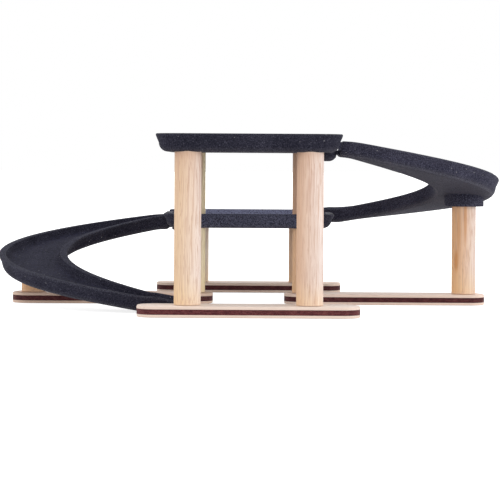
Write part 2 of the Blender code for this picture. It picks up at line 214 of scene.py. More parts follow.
def drum(radius, low, high, centre=(0, 0), sides=64, ease=0.0):  # upright cylinder, eased at its foot
    profile = [(radius - ease, low)]
    if ease:
        profile = arc((radius - ease, low + ease), ease, 270, 360, 4)
    profile.append((radius, high))
    rings = []
    for r, z in profile:
        rings.append([(x, y, z) for x, y in arc(centre, r, 0, 360, sides)[:-1]])
    return loft(rings)


def block(low, high):
    bm = bmesh.new()
    bmesh.ops.create_cube(bm, size=1.0)
    size = Vector(high) - Vector(low)
    bmesh.ops.scale(bm, vec=size, verts=bm.verts)
    bmesh.ops.translate(bm, vec=(Vector(low) + Vector(high)) / 2, verts=bm.verts)
    return bm


def asObject(name, bm):
    bmesh.ops.recalc_face_normals(bm, faces=bm.faces)
    mesh = bpy.data.meshes.new(name)
    bm.to_mesh(mesh)
    bm.free()
    obj = bpy.data.objects.new(name, mesh)
    scene.collection.objects.link(obj)
    return obj


def carve(obj, tools):  # runs (operation, bmesh) steps on obj and keeps the result
    for i, (operation, bm) in enumerate(tools):
        tool = asObject(f"{obj.name}_tool{i}", bm)
        modifier = obj.modifiers.new("carve", "BOOLEAN")
        modifier.operation = operation
        modifier.solver = "EXACT"
        modifier.object = tool
        bpy.context.view_layer.update()
        done = bpy.data.meshes.new_from_object(obj.evaluated_get(bpy.context.evaluated_depsgraph_get()))
        obj.modifiers.clear()
        old = obj.data
        obj.data = done
        bpy.data.meshes.remove(old)
        bpy.data.objects.remove(tool)
    obj.data.name = obj.name


wearLook = {"soft": 200.0, "full": 620.0}  # curvature per metre, where rubbing starts and is full


def markEdges(mesh):  # paints convex edges into the edgeWear attribute
    count = len(mesh.vertices)
    points = np.zeros(count * 3)
    normals = np.zeros(count * 3)
    mesh.vertices.foreach_get("co", points)
    mesh.vertices.foreach_get("normal", normals)
    points = points.reshape(-1, 3)
    normals = normals.reshape(-1, 3)
    ends = np.zeros(len(mesh.edges) * 2, int)
    mesh.edges.foreach_get("vertices", ends)
    ends = ends.reshape(-1, 2)
    bend = np.zeros(count)
    for near, far in ((ends[:, 0], ends[:, 1]), (ends[:, 1], ends[:, 0])):
        span = points[far] - points[near]
        drop = -np.einsum("ij,ij->i", normals[near], span)
        curve = 2 * drop / np.maximum(np.einsum("ij,ij->i", span, span), 1e-9)
        np.maximum.at(bend, near, curve)
    share = np.clip((bend - wearLook["soft"]) / (wearLook["full"] - wearLook["soft"]), 0, 1)
    layer = mesh.attributes.new("edgeWear", "FLOAT", "POINT")
    layer.data.foreach_set("value", share.astype(np.float32))


def settle(obj, node, finish, body="stand", smooth=34.0):  # shades, dresses and seats a finished piece
    mesh = obj.data
    mesh.shade_smooth()
    mesh.set_sharp_from_angle(angle=math.radians(smooth))
    markEdges(mesh)
    mesh.materials.clear()
    mesh.materials.append(finish.material)
    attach(obj, body)
    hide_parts(node)
    return obj


def middleOf(node):
    low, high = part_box(node)
    return (low + high) / 2


# Finishes

upAxis = (0.0, 0.0, 1.0)


def tinted(tones, tint):  # colour stops, each multiplied by a tint
    return [(stop, [t * c for t, c in zip(tint, colour)]) for stop, colour in tones]


compositeLook = {
    "tones": ((0.0, (0.0070, 0.0070, 0.0125)), (0.5, (0.0225, 0.0220, 0.0360)), (1.0, (0.062, 0.061, 0.088))),
    # the last colour on the next line is for rubbed edges: partly wear, partly a painted highlight
    "fleck": (0.110, 0.108, 0.140), "spark": (0.34, 0.33, 0.33), "rubbed": (0.085, 0.085, 0.108),
    # all three colours on the next line are painted light, on tray insides, undersides and ramp floors; the
    # first colour on the line after is a painted highlight under a ramp's wall
    "worn": (0.178, 0.186, 0.277), "dusty": (0.075, 0.073, 0.090), "trodden": (0.035, 0.0355, 0.062),
    "ridge": (0.125, 0.122, 0.148), "sheenTint": (0.86, 0.87, 1.0),
    "grainScale": 980.0, "fleckScale": 520.0, "cloudScale": 30.0, "laneScale": 320.0,
    "spotEdge": (0.16, 0.46), "fleckDraw": (0.80, 0.92), "sparkDraw": (0.988, 0.996), "fleckDepth": 0.5,
    "cloudShare": 0.22, "mottleEdge": (0.26, 0.74), "underEdge": (-0.95, -0.15), "dustGrain": (0.2, 0.6),
    "insideEdge": (-0.006, -0.001), "middleEdge": (0.052, 0.084), "endShare": 0.25,
    "floorGrain": (0.26, 0.6), "sideGrain": (0.38, 0.62),
    "laneEdge": (0.6, 0.95), "laneShare": 0.6, "laneGrain": (0.43, 0.58), "laneDepth": 0.66,
    "ridgeLow": (-0.97, -0.88), "ridgeHigh": (-0.78, -0.6), "ridgeGrain": (0.3, 0.6), "ridgeDepth": 0.45,
    "rubGrain": (0.32, 0.66), "roughness": 0.80, "grainSmooth": 0.2, "rubSmooth": 0.1,
    "bumpFleck": 0.5, "bumpDepth": 0.0002, "bumpStrength": 0.5,
}
# the first share on each of the next two lines is painted light on faces that turn down; the second is for
# rubbed edges, partly wear, partly painted highlight
trayLook = {"dust": 0.42, "rub": 0.2, "sheen": 0.05}
rampLook = {"dust": 0.62, "rub": 0.6, "sheen": 0.02}


# Pressed wood fibre, dyed charcoal, with pale flecks; trayTop is the height of a deck's rim. The gain of each
# piece is painted light and shade.
def makeComposite(name, gain, trayTop=None, floorLight=0.0, wallLight=0.0):
    look = compositeLook
    use = trayLook if trayTop else rampLook
    finish = Finish(name)
    cloud = finish.noise(finish.stretch(finish.place, (look["cloudScale"],) * 3), 3.0)
    grain = finish.noise(finish.stretch(finish.place, (look["grainScale"],) * 3), 3.0, 0.6)
    fleckPlace = finish.stretch(finish.place, (look["fleckScale"],) * 3)
    spot = 1 - finish.step(finish.cells(fleckPlace), *look["spotEdge"])
    draw = finish.cellDraw(fleckPlace)
    fleck = spot * finish.step(draw, *look["fleckDraw"])
    spark = spot * finish.step(draw, *look["sparkDraw"])
    mottle = finish.step(grain + (cloud - 0.5) * look["cloudShare"], *look["mottleEdge"])
    tone = finish.ramp(mottle, tinted(look["tones"], (gain,) * 3))
    normal = finish.add("NewGeometry", out="Normal")
    upward = finish.along(normal, upAxis)
    under = 1 - finish.step(upward, *look["underEdge"])
    # painted light: faces that turn down are painted paler, standing in for light from the floor below
    tone = finish.mix(under * finish.step(grain, *look["dustGrain"]) * use["dust"], tone, look["dusty"])
    if trayTop:  # painted light: the inside of a tray, which faces the middle of it, is painted paler
        facing = finish.shift(finish.place, (0.0, 0.0, -trayTop))
        inside = 1 - finish.step(finish.along(normal, facing), *look["insideEdge"])
        sideways = finish.size(finish.along(finish.place, (1.0, 0.0, 0.0)))
        middle = 1 - finish.step(sideways, *look["middleEdge"])
        spread = look["endShare"] + middle * (1 - look["endShare"])
        floorLit = inside * spread * finish.step(grain, *look["floorGrain"]) * floorLight
        wallLit = (1 - inside) * middle * finish.step(grain, *look["sideGrain"]) * wallLight
        tone = finish.mix(floorLit + wallLit, tone, look["worn"])
    else:  # painted light: the floor of a ramp is painted paler, and a painted highlight runs along its underside
        lane = finish.noise(finish.stretch(finish.place, (look["laneScale"],) * 3), 2.0)
        speckle = grain * (1 - look["laneShare"]) + lane * look["laneShare"]
        trodden = finish.step(upward, *look["laneEdge"]) * finish.step(speckle, *look["laneGrain"])
        tone = finish.mix(trodden * look["laneDepth"], tone, look["trodden"])
        # painted highlight along the ridge where a ramp's wall turns under
        ridge = finish.step(upward, *look["ridgeLow"]) * (1 - finish.step(upward, *look["ridgeHigh"]))
        ridgeShine = ridge * finish.step(grain, *look["ridgeGrain"])
        tone = finish.mix(ridgeShine * look["ridgeDepth"], tone, look["ridge"])
    tone = finish.mix(fleck * look["fleckDepth"], tone, look["fleck"])
    tone = finish.mix(spark * look["fleckDepth"], tone, look["spark"])
    # rounded edges are painted paler: partly wear, partly a painted highlight
    rubbed = finish.wear() * finish.step(grain, *look["rubGrain"])
    tone = finish.mix(rubbed * use["rub"], tone, look["rubbed"])
    roughness = look["roughness"] - grain * look["grainSmooth"] - rubbed * look["rubSmooth"]
    finish.set(baseColor=tone, roughness=roughness)
    finish.set(specularIORLevel=use["sheen"], specularTint=look["sheenTint"])
    finish.bump(grain + fleck * look["bumpFleck"], look["bumpDepth"], look["bumpStrength"])
    return finish


turnedLook = {
    "tones": ((0.0, (0.925, 0.822, 0.775)), (0.30, (0.885, 0.772, 0.715)),
              (0.65, (0.70, 0.510, 0.420)), (1.0, (0.50, 0.300, 0.215))),
    # The tints on these two lines are painted light and shade on one side of a column, and the colour at the
    # end of the second line is painted light at the foot.
    "amber": (0.80, 0.563, 0.335), "russet": (0.76, 0.505, 0.345), "honey": (0.93, 0.540, 0.270),
    "pale": (1.0, 0.88, 0.52), "tan": (0.67, 0.355, 0.19), "glow": (0.93, 0.69, 0.36),
    "pore": (0.45, 0.215, 0.125), "rubbed": (0.84, 0.69, 0.56), "streak": (0.62, 0.23, 0.045),
    "vein": (0.60, 0.385, 0.295), "shaded": (0.60, 0.39, 0.28),
    "seedStep": (0.37, 0.21, 0.53), "swayScale": (36.0, 36.0, 4.0), "wanderScale": 17.0, "wander": 0.005,
    "ringPitch": 0.0036, "ringSway": 2.8, "ringFlat": (1.0, 1.0, 0.05), "pithTurn": 2.4, "pithOff": 0.055,
    "fibre": (1200.0, 1200.0, 15.0), "line": (400.0, 400.0, 4.0), "poreGrain": (1000.0, 1000.0, 56.0),
    "stripe": (620.0, 620.0, 1.6),
    "poreEdge": (0.59, 0.70), "poreDepth": 0.4,
    "veinEdge": (0.004, 0.04), "veinFibre": (0.38, 0.6), "veinDepth": 0.62,
    "bandEdge": (0.3, 1.0), "bandShare": 0.2, "fibreMiddle": 0.44, "fibreShare": 2.2,
    "fibreEdge": (0.50, 0.78), "fibreDepth": 0.36,
    "stripeEdge": (0.50, 0.62), "stripeDepth": 0.20, "stripeRise": (0.07, 0.165), "stripeHead": 0.34,
    "warmEdge": (-0.018, 0.017), "warmSway": 0.01, "riseSway": 0.03,
    "headRise": (0.135, 0.178), "headShade": 0.4, "bodyRise": (0.02, 0.17), "bodyShade": 0.22,
    "deckRise": (0.161, 0.171), "deckShade": 0.26, "coolShade": 0.45, "warmShade": 0.75,
    # painted light at the foot
    "footRise": (0.010, 0.044), "footGlow": 0.32,
    "markFibre": 0.002, "markSway": 0.003, "markHeart": 0.2, "rubDepth": 0.4,
    "roughness": 0.50, "poreRough": 0.16, "fibreRough": 0.16, "sheen": 0.04,
    "bumpFibre": 0.6, "bumpDepth": 0.00008, "bumpStrength": 0.6,
}


# Turned pale hardwood, grain upright; the tint on one side is painted light and shade, the gain is painted
# light and shade, and the share before the marks sets how much painted shade lies at the head.
def makeTurned(name, seed, tint, depth, side, gain, shadeAtHead, marks=()):
    look = turnedLook
    finish = Finish(name)
    place = finish.shift(finish.place, Vector(look["seedStep"]) * seed)
    sway = finish.noise(finish.stretch(place, look["swayScale"]), 3.0)
    turn = look["pithTurn"] * seed
    pith = (look["pithOff"] * math.cos(turn), look["pithOff"] * math.sin(turn), 0.0)
    flat = finish.shift(finish.stretch(finish.place, look["ringFlat"]), pith)
    band = finish.saw(finish.length(flat) * (1 / look["ringPitch"]) + sway * look["ringSway"])
    wanderNoise = {"Vector": place, "Scale": look["wanderScale"], "Detail": 1.0}
    wander = finish.add("TexNoise", {}, wanderNoise, out="Color")
    bent = finish.shift(place, finish.stretch(wander, (look["wander"], look["wander"], 0.0)))
    fibre = finish.noise(finish.stretch(bent, look["fibre"]), 3.0, 0.6)
    line = finish.noise(finish.stretch(bent, look["line"]), 3.0, 0.6)
    pore = finish.step(finish.noise(finish.stretch(bent, look["poreGrain"]), 2.0), *look["poreEdge"])
    vein = 1 - finish.step(finish.size(line - 0.5), *look["veinEdge"])
    stripe = finish.step(finish.noise(finish.stretch(bent, look["stripe"]), 2.0), *look["stripeEdge"])
    rings = finish.step(band, *look["bandEdge"]) * look["bandShare"]
    mottle = rings + (fibre - look["fibreMiddle"]) * look["fibreShare"]
    tone = finish.ramp(mottle, tinted(look["tones"], (gain,) * 3))
    # painted light and shade: one side of the column is painted in the tint
    angle = math.radians(side)
    across = finish.along(finish.place, (math.cos(angle), math.sin(angle), 0.0))
    shadeSide = finish.step(across + (sway - 0.5) * look["warmSway"], *look["warmEdge"])
    tone = finish.mix(shadeSide * depth, tone, look[tint])
    height = finish.along(finish.place, upAxis)
    rise = height + (sway - 0.5) * look["riseSway"]
    shade = finish.step(rise, *look["headRise"]) * look["headShade"]
    shade = shade + finish.step(rise, *look["bodyRise"]) * look["bodyShade"]
    shade = shade + finish.step(height, *look["deckRise"]) * look["deckShade"]
    shade = shade * (look["coolShade"] + shadeSide * look["warmShade"]) * shadeAtHead
    tone = finish.mix(shade, tone, look["shaded"])  # painted shade, strongest near the head under the deck
    # painted light: the foot is painted paler and warmer, standing in for light from the plate and floor
    foot = 1 - finish.step(rise, *look["footRise"])
    tone = finish.mix(foot * look["footGlow"], tone, look["glow"])
    # stripes are grain; their deepening toward the head is painted shade
    stripeDepth = look["stripeDepth"] + finish.step(rise, *look["stripeRise"]) * look["stripeHead"]
    tone = finish.mix(stripe * stripeDepth, tone, look["vein"])
    tone = finish.mix(finish.step(fibre, *look["fibreEdge"]) * look["fibreDepth"], tone, look["vein"])
    tone = finish.mix(vein * finish.step(fibre, *look["veinFibre"]) * look["veinDepth"], tone, look["vein"])
    tone = finish.mix(pore * look["poreDepth"], tone, look["pore"])
    for mark in marks:
        angle = math.radians(mark["angle"])
        spot = (-mark["radius"] * math.cos(angle), -mark["radius"] * math.sin(angle), -mark["height"])
        away = finish.length(finish.stretch(finish.shift(finish.place, spot), (1.0, 1.0, mark["squash"])))
        ragged = away + (fibre - 0.5) * look["markFibre"] + (sway - 0.5) * look["markSway"]
        stain = 1 - finish.step(ragged, mark["width"] * look["markHeart"], mark["width"])
        tone = finish.mix(stain * mark["depth"], tone, look["streak"])
    tone = finish.mix(finish.wear() * look["rubDepth"], tone, look["rubbed"])
    roughness = look["roughness"] + pore * look["poreRough"] + (fibre - 0.5) * look["fibreRough"]
    finish.set(baseColor=tone, roughness=roughness, specularIORLevel=look["sheen"])
    finish.bump(fibre * look["bumpFibre"] - pore, look["bumpDepth"], look["bumpStrength"])
    return finish


boardLook = {
    "tones": ((0.0, (0.82, 0.665, 0.570)), (0.5, (0.795, 0.620, 0.525)), (1.0, (0.67, 0.475, 0.375))),
    # the last colour on the next line is painted light on the top faces
    "line": (0.55, 0.36, 0.27), "rubbed": (0.85, 0.72, 0.63), "bleached": (1.0, 0.855, 0.765),
    "fibre": (14.0, 900.0, 1400.0), "figure": (3.0, 90.0, 90.0), "pore": (62.0, 1000.0, 1000.0),
    "seedStep": (0.43, 0.31, 0.17), "figureWarp": 0.4, "figureBands": 5.0, "poreEdge": (0.61, 0.73),
    "bandEdge": (0.4, 1.0), "bandShare": 0.32, "fibreEdge": (0.34, 0.72), "fibreShare": 0.6,
    "topEdge": (0.5, 0.95), "topDepth": 0.9, "poreDepth": 0.3, "rubDepth": 0.4,
    "roughness": 0.42, "poreRough": 0.12, "fibreRough": 0.14, "sheen": 0.05,
    "bumpFibre": 0.6, "bumpDepth": 0.00006, "bumpStrength": 0.5,
}


def makeBoard(name, seed, tint):  # pale face board, grain along the plate, painted lighter on top; the tint is painted shade for each plate
    look = boardLook
    finish = Finish(name)
    place = finish.shift(finish.place, Vector(look["seedStep"]) * seed)
    figure = finish.noise(finish.stretch(place, look["figure"]), 3.0, 0.5, look["figureWarp"])
    band = finish.saw(figure * look["figureBands"])
    fibre = finish.noise(finish.stretch(place, look["fibre"]), 3.0, 0.6)
    pore = finish.step(finish.noise(finish.stretch(place, look["pore"]), 2.0), *look["poreEdge"])
    bands = finish.step(band, *look["bandEdge"]) * look["bandShare"]
    mottle = bands + finish.step(fibre, *look["fibreEdge"]) * look["fibreShare"]
    tone = finish.ramp(mottle, tinted(look["tones"], tint))
    upward = finish.along(finish.add("NewGeometry", out="Normal"), upAxis)
    # painted light: faces that turn up are painted paler
    bleached = [t * c for t, c in zip(tint, look["bleached"])]
    tone = finish.mix(finish.step(upward, *look["topEdge"]) * look["topDepth"], tone, bleached)
    tone = finish.mix(pore * look["poreDepth"], tone, look["line"])
    tone = finish.mix(finish.wear() * look["rubDepth"], tone, look["rubbed"])
    roughness = look["roughness"] + pore * look["poreRough"] + (fibre - 0.5) * look["fibreRough"]
    finish.set(baseColor=tone, roughness=roughness, specularIORLevel=look["sheen"])
    finish.bump(fibre * look["bumpFibre"] - pore, look["bumpDepth"], look["bumpStrength"])
    return finish


coreLook = {
    "tones": ((0.0, (0.044, 0.011, 0.014)), (0.5, (0.088, 0.022, 0.025)), (1.0, (0.140, 0.043, 0.042))),
    "fleck": (0.20, 0.085, 0.075), "strand": (160.0, 160.0, 800.0), "gritScale": 1150.0,
    "strandShare": 0.6, "mottleEdge": (0.33, 0.66), "fleckEdge": (0.62, 0.76), "fleckDepth": 0.5,
    "roughness": 0.66, "strandSmooth": 0.12, "sheen": 0.12,
    "bumpGrit": 0.5, "bumpDepth": 0.0001, "bumpStrength": 0.5,
}


def makeCore(name, gain):  # dyed fibre layer between the boards; its gain is painted light and shade for each plate
    look = coreLook
    finish = Finish(name)
    strand = finish.noise(finish.stretch(finish.place, look["strand"]), 4.0, 0.6)
    grit = finish.noise(finish.stretch(finish.place, (look["gritScale"],) * 3), 2.0)
    mottle = strand * look["strandShare"] + grit * (1 - look["strandShare"])
    tone = finish.ramp(finish.step(mottle, *look["mottleEdge"]), tinted(look["tones"], (gain,) * 3))
    tone = finish.mix(finish.step(grit, *look["fleckEdge"]) * look["fleckDepth"], tone, look["fleck"])
    roughness = look["roughness"] - strand * look["strandSmooth"]
    finish.set(baseColor=tone, roughness=roughness, specularIORLevel=look["sheen"])
    finish.bump(strand + grit * look["bumpGrit"], look["bumpDepth"], look["bumpStrength"])
    return finish


# Foot plates

plateCut = {"corner": 0.019, "cornerSteps": 18, "ease": 0.0009, "easeSteps": 4, "rub": 0.0025, "hole": 0.0073}
# painted shade: each plate's cores and boards get their own gain and tint, darkest on the left plate, which
# lies under a ramp
coreShadeGain = {"front": 1.14, "back": 0.76, "left": 0.78, "right": 0.80}
boardShadeTint = {
    "front": (1.0, 1.0, 1.0), "back": (0.975, 0.92, 0.87),
    "left": (0.83, 0.69, 0.60), "right": (1.0, 0.93, 0.90),
}
plateStands = {
    "front": ("front_left_column", "front_right_column"),
    "back": ("back_left_column", "back_right_column"),
    "left": ("lower_ramp_post", "middle_left_lower_column"),
    "right": ("middle_right_lower_column", "upper_ramp_post"),
}


def plateBoard(plate, layer, finish, drills):
    node = f"{plate}_plate_{layer}"
    low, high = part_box(node)
    centre = middleOf(node)
    size = high - low
    outline = roundedOutline(size.x, size.y, plateCut["corner"], plateCut["cornerSteps"])
    ease = plateCut["ease"]
    steps = plateCut["easeSteps"]
    rub = plateCut["rub"]  # rubbing fades out this far from the edge
    profile = [(0.0, low.z), (0.0, high.z)]
    if layer == "bottom_board":
        rounded = arc((ease, low.z + ease), ease, 270, 180, steps)
        profile = [(rub, low.z)] + rounded + [(0.0, high.z)]
    if layer == "top_board":
        rounded = arc((ease, high.z - ease), ease, 180, 90, steps)
        profile = [(0.0, low.z)] + rounded + [(rub, high.z)]
    board = asObject(f"{plate}_{layer}", loft(insetRings(outline, profile)))
    if layer != "bottom_board":
        tools = []
        for x in drills:
            drill = drum(plateCut["hole"], low.z - size.z, high.z + size.z, (x - centre.x, 0.0))
            tools.append(("DIFFERENCE", drill))
        carve(board, tools)
    board.location = (centre.x, centre.y, 0.0)
    return settle(board, node, finish)


for i, (plate, stands) in enumerate(plateStands.items()):
    drills = [middleOf(node).x for node in stands]
    lowerBoard = makeBoard(f"{plate}LowerBoard", 2 * i + 1, boardShadeTint[plate])
    core = makeCore(f"{plate}Core", coreShadeGain[plate])
    upperBoard = makeBoard(f"{plate}UpperBoard", 2 * i + 2, boardShadeTint[plate])
    plateBoard(plate, "bottom_board", lowerBoard, drills)
    plateBoard(plate, "core", core, drills)
    plateBoard(plate, "top_board", upperBoard, drills)
print("foot plates laid up:", len(plateStands))


# Columns and posts

columnCut = {
    "sides": 96, "ease": 0.0010, "easeSteps": 4, "tenon": 0.007, "bore": 0.0073, "gap": 0.0003,
    "headTenon": 0.0024, "throughTenon": 0.012, "rub": 0.0026, "weld": 0.00001,
}
# Node, tenon at the head, foot, seed, tint painted as light and shade on one side, its depth, its side in
# degrees, gain of painted light and shade, and share of painted shade at the head
columnSet = (
    ("front_left_column", "headTenon", "tenon", 1.0, "amber", 0.90, 195.0, 1.00, 1.0),
    ("front_right_column", "headTenon", "tenon", 2.3, "russet", 1.0, 172.0, 0.92, 1.0),
    ("back_left_column", "headTenon", "tenon", 3.1, "pale", 0.30, 0.0, 1.08, 1.0),
    ("back_right_column", "headTenon", "tenon", 4.7, "honey", 0.66, 180.0, 0.92, 1.0),
    ("middle_left_lower_column", "throughTenon", "tenon", 5.2, "pale", 0.90, 20.0, 1.05, 0.1),
    ("middle_right_lower_column", "throughTenon", "tenon", 6.6, "honey", 0.82, 180.0, 0.92, 1.0),
    ("middle_left_upper_column", "headTenon", "bore", 7.4, "pale", 0.90, 10.0, 1.05, 0.1),
    ("middle_right_upper_column", "headTenon", "bore", 8.9, "tan", 0.95, 170.0, 1.00, 1.0),
    ("upper_ramp_post", None, "tenon", 9.5, "honey", 1.0, 188.0, 0.83, 1.0),
    ("lower_ramp_post", None, "tenon", 10.8, "tan", 0.90, 250.0, 0.82, 1.0),
)
postMarks = (  # brown streaks and a knot in the tall post
    {"angle": 272.0, "radius": 0.0136, "height": 0.102, "squash": 0.05, "width": 0.0022, "depth": 0.5},
    {"angle": 240.0, "radius": 0.0136, "height": 0.084, "squash": 0.08, "width": 0.0030, "depth": 0.3},
    {"angle": 226.0, "radius": 0.0136, "height": 0.050, "squash": 0.22, "width": 0.0036, "depth": 0.55},
)


def turnedColumn(node, head, foot, finish):
    cut = columnCut
    low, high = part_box(node)
    radius = (high.x - low.x) / 2
    ease = cut["ease"]
    steps = cut["easeSteps"]
    headZ = high.z - (cut[head] if head else 0.0)
    footZ = low.z
    if foot == "tenon":
        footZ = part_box("front_plate_top_board")[1].z + cut["gap"]
    profile = [(0.0, high.z)]
    if head:
        profile += [(cut["tenon"], high.z), (cut["tenon"], headZ)]
    profile += arc((radius - ease, headZ - ease), ease, 90, 0, steps)
    profile += [(radius, headZ - cut["rub"]), (radius, footZ + cut["rub"])]  # rubbing fades out here
    profile += arc((radius - ease, footZ + ease), ease, 0, -90, steps)
    if foot == "tenon":
        profile += [(cut["tenon"], footZ), (cut["tenon"], low.z), (0.0, low.z)]
    else:
        lowerNode = node.replace("upper", "lower")
        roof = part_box(lowerNode)[1].z + cut["gap"]
        profile += [(cut["bore"], footZ), (cut["bore"], roof), (0.0, roof)]
    bm = bmesh.new()
    verts = [bm.verts.new((r, 0.0, z)) for r, z in profile]
    edges = [bm.edges.new(pair) for pair in zip(verts, verts[1:])]
    bmesh.ops.spin(bm, geom=verts + edges, axis=(0, 0, 1), cent=(0, 0, 0), dvec=(0, 0, 0),
                   steps=cut["sides"], angle=math.tau)
    bmesh.ops.remove_doubles(bm, verts=bm.verts, dist=cut["weld"])
    column = asObject(node + "_turned", bm)
    column.location = (*middleOf(node).xy, 0.0)
    return settle(column, node, finish)


for node, head, foot, seed, tint, depth, side, gain, shadeAtHead in columnSet:
    marks = postMarks if node == "upper_ramp_post" else ()
    wood = makeTurned(node + "Wood", seed, tint, depth, side, gain, shadeAtHead, marks)
    turnedColumn(node, head, foot, wood)
print("columns turned:", len(columnSet))


# Decks

deckCut = {
    "corner": 0.028, "cornerSteps": 16, "floor": 0.0057, "lean": 0.0032,
    "bilge": 0.0096, "frontBilge": 0.0076, "bilgeSteps": 10,
    "rim": 0.007, "rimRound": 0.0012, "rimSteps": 5, "wallLean": 0.2,
    "fillet": 0.0065, "filletStart": 192, "filletSteps": 8, "support": 0.0016, "supportLean": 0.2,
    "seat": 0.0017, "seatRadius": 0.0143, "hole": 0.0073, "holeSides": 32, "blind": 0.0044, "over": 0.006,
}
openingCut = {
    "width": 0.079, "turnOut": 0.0016, "turnSteps": 6, "step": 0.0002, "pocketWidth": 0.0492,
    "pocketReach": 0.0216, "pegRadius": 0.0056, "pegInset": 0.0105,
}
lugCut = {
    "drop": 0.009, "length": 0.027, "width": 0.062, "end": 0.0926, "corner": 0.0098, "bilge": 0.0083,
    "root": 0.005, "steps": 8,
}
laneY = 0.144
rampEndX = 0.0980
seatLevels = {"top_deck": 0.1681, "middle_deck": 0.0815}
deckColumns = {
    "top_deck": ("front_left_column", "front_right_column",
                 "middle_left_upper_column", "middle_right_upper_column"),
    "middle_deck": ("middle_left_lower_column", "middle_right_lower_column",
                    "back_left_column", "back_right_column"),
}


def deckProfiles(height, bilge):  # (inset, z) for the full rim and for the open end, point by point
    cut = deckCut
    r = cut["rimRound"]
    inner = cut["rim"] + r
    floorEdge = inner + cut["wallLean"] * (height - cut["floor"]) + cut["fillet"]
    full = arc((cut["lean"] + bilge, bilge), bilge, 270, 180, cut["bilgeSteps"])
    full += [(cut["support"] * cut["supportLean"], height - r - cut["support"])]
    full += arc((r, height - r), r, 180, 90, cut["rimSteps"])
    full += arc((cut["rim"], height - r), r, 90, 0, cut["rimSteps"])
    filletCentre = (floorEdge, cut["floor"] + cut["fillet"])
    full += arc(filletCentre, cut["fillet"], cut["filletStart"], 270, cut["filletSteps"])
    lip = cut["floor"] - openingCut["step"]
    first = next(i for i, (inset, z) in enumerate(full) if z > lip)
    lipInset = cut["lean"] + bilge - math.sqrt(bilge ** 2 - (bilge - lip) ** 2)
    opened = full[:first]
    count = len(full) - first
    for i in range(count):
        share = i / (count - 1)
        opened.append((lipInset + (floorEdge - lipInset) * share, lip + openingCut["step"] * share))
    return full, opened


def deckOutline(length, depth, openings):  # outline points with the share of rim left standing at each
    rounded = roundedOutline(length, depth, deckCut["corner"], deckCut["cornerSteps"])
    points = [(*point, 1.0) for point in rounded]
    half = openingCut["width"] / 2
    edge = []
    for i in range(openingCut["turnSteps"] + 1):
        share = i / openingCut["turnSteps"]
        edge.append((half + openingCut["turnOut"] * (1 - share), (1 + math.cos(math.pi * share)) / 2))
    span = [(-offset, rim) for offset, rim in edge] + [(offset, rim) for offset, rim in reversed(edge)]
    ends = {1: [], -1: []}
    for side, middle in openings:
        ends[side] += [(side * length / 2, middle + side * offset, side, 0.0, rim) for offset, rim in span]
    leftEnd = len(points) // 2
    return points[:leftEnd] + ends[-1] + points[leftEnd:] + ends[1]


def lugTool(side, y):  # round-edged block under the deck that holds a ramp's tongue
    bilge = lugCut["bilge"]
    profile = arc((bilge, bilge - lugCut["drop"]), bilge, 270, 180, lugCut["steps"])
    profile.append((0.0, lugCut["root"]))
    outline = roundedOutline(lugCut["length"], lugCut["width"], lugCut["corner"], lugCut["steps"])
    lug = loft(insetRings(outline, profile))
    bmesh.ops.translate(lug, verts=lug.verts, vec=(side * (lugCut["end"] - lugCut["length"] / 2), y, 0.0))
    return lug


def pocketTool(side, y, floor, reachX, height):
    inner = side * (rampEndX - openingCut["pocketReach"])
    outer = side * reachX
    half = openingCut["pocketWidth"] / 2
    return block((min(inner, outer), y - half, floor), (max(inner, outer), y + half, height))


def trayDeck(node, openings, lugs, throughRow, finish):
    cut = deckCut
    low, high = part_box(node)
    size = high - low
    centre = middleOf(node)
    bottom = low.z + lugCut["drop"]
    height = high.z - bottom
    full, opened = deckProfiles(height, cut["bilge"])
    front = deckProfiles(height, cut["frontBilge"])[0]
    outline = deckOutline(size.x, size.y, [(side, lane - centre.y) for side, lane in openings])
    rings = []
    for side, face, gap in zip(full, front, opened):
        ring = []
        for x, y, nx, ny, rim in outline:
            shares = (rim * nx * nx, rim * ny * ny, 1 - rim)
            into, z = [sum(s * p[k] for s, p in zip(shares, (side, face, gap))) for k in (0, 1)]
            ring.append((x - nx * into, y - ny * into, z))
        rings.append(ring)
    deck = asObject(node + "_tray", loft(rings))
    over = cut["over"]
    tools = [("UNION", lugTool(side, lane - centre.y)) for side, lane in lugs]
    for side, lane in openings:
        y = lane - centre.y
        if (side, lane) in lugs:
            floor = seatLevels[node] - bottom
            tools.append(("DIFFERENCE", pocketTool(side, y, floor, size.x / 2 + over, height + over)))
        spot = (side * (rampEndX - openingCut["pegInset"]), y)
        lowest = -lugCut["drop"] - over
        hole = drum(openingCut["pegRadius"], lowest, cut["floor"] + over, spot, cut["holeSides"])
        tools.append(("DIFFERENCE", hole))
    for columnNode in deckColumns[node]:
        at = middleOf(columnNode)
        spot = (at.x, at.y - centre.y)
        through = columnNode in throughRow
        top = cut["floor"] + over if through else cut["blind"]
        tools.append(("DIFFERENCE", drum(cut["seatRadius"], -over, cut["seat"], spot)))
        tools.append(("DIFFERENCE", drum(cut["hole"], -over, top, spot, cut["holeSides"])))
        if through:
            foot = drum(cut["seatRadius"], cut["floor"] - columnCut["gap"], height + over, spot)
            tools.append(("DIFFERENCE", foot))
    carve(deck, tools)
    deck.location = (centre.x, centre.y, bottom)
    return settle(deck, node, finish)


deckFinish = {  # name, gain of painted light and shade, height of the tray, painted light on its floor and on its sides
    "top_deck": ("topDeckFibre", 0.80, 0.019, 0.45, 0.0),
    "middle_deck": ("middleDeckFibre", 1.0, 0.0162, 1.0, 0.48),
}
rightFront, rightBack, leftBack = (1, -laneY), (1, laneY), (-1, laneY)
topFibre = makeComposite(*deckFinish["top_deck"])
trayDeck("top_deck", [rightFront], [rightFront], (), topFibre)
middleFibre = makeComposite(*deckFinish["middle_deck"])
trayDeck("middle_deck", [rightBack, leftBack], [leftBack], deckColumns["middle_deck"][:2], middleFibre)
print("decks moulded")


# Ramps

